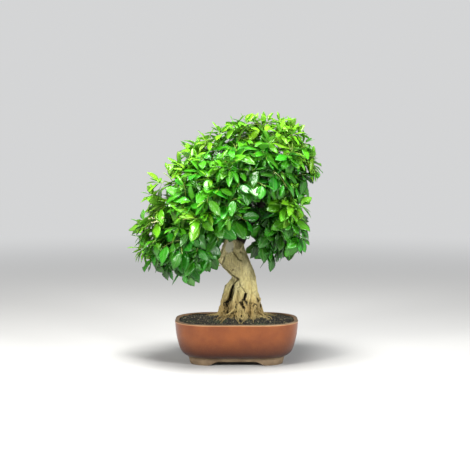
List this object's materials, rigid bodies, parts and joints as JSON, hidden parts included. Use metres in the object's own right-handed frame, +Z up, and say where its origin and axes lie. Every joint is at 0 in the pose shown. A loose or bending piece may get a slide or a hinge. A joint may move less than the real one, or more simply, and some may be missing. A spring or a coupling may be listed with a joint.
{
  "type": "duranta bonsai in a clay pot",
  "caption": "Leaning broadleaf bonsai with bared roots, leafy shoots and dark granular soil in a footed, rounded-rectangle glazed clay pot.",
  "frame": {"origin": "middle of the footprint of the whole's box, on the surface that the pot's feet stand on", "axes": "+Z up, -Y towards the viewer's front, +X to the viewer's right"},
  "size_m": [0.4024, 0.3632, 0.5134],
  "materials": {
    "glazed_clay": "satin orange-brown glaze over grey-brown clay that is bare at the feet and the rim's edge",
    "net": "black plastic net",
    "soil": "near-black loose granules, matt",
    "bark": "pale tan bark, finely furrowed and matt, darker on the boughs in the crown",
    "leaf_young": "fresh yellow-green leaf, satin",
    "leaf_grown": "mid-green leaf, glossy above and paler below",
    "leaf_old": "dark green leaf, glossy above and paler below"
  },
  "bodies": {
    "root": {"pot": "glazed_clay", "drain_screen_left": "net", "drain_screen_right": "net", "soil": "soil", "wood": "bark", "spray_01": "leaf_young", "spray_02": "leaf_young", "spray_03": "leaf_grown", "spray_04": "leaf_grown", "spray_05": "leaf_grown", "spray_06": "leaf_old", "spray_07": "leaf_old", "spray_08": "leaf_old", "spray_09": "leaf_old", "spray_10": "leaf_old", "spray_11": "leaf_old", "spray_12": "leaf_old", "spray_13": "leaf_old", "spray_14": "leaf_grown", "spray_15": "leaf_grown", "spray_16": "leaf_young", "spray_17": "leaf_grown", "spray_18": "leaf_young", "spray_19": "leaf_young", "spray_20": "leaf_young", "spray_21": "leaf_young", "spray_22": "leaf_grown", "spray_23": "leaf_young", "spray_24": "leaf_grown", "spray_25": "leaf_grown", "spray_26": "leaf_old", "spray_27": "leaf_old", "spray_28": "leaf_young", "spray_29": "leaf_old", "spray_30": "leaf_old", "spray_31": "leaf_grown", "spray_32": "leaf_young", "spray_33": "leaf_young", "spray_34": "leaf_grown", "spray_35": "leaf_young", "spray_36": "leaf_young", "spray_37": "leaf_old", "spray_38": "leaf_grown", "spray_39": "leaf_young", "spray_40": "leaf_old", "spray_41": "leaf_old", "spray_42": "leaf_old", "spray_43": "leaf_grown", "spray_44": "leaf_grown", "spray_45": "leaf_grown", "spray_46": "leaf_grown", "spray_47": "leaf_grown", "spray_48": "leaf_grown", "spray_49": "leaf_old", "spray_50": "leaf_old", "spray_51": "leaf_old", "spray_52": "leaf_old", "spray_53": "leaf_old", "spray_54": "leaf_old"}
  },
  "joints": []
}
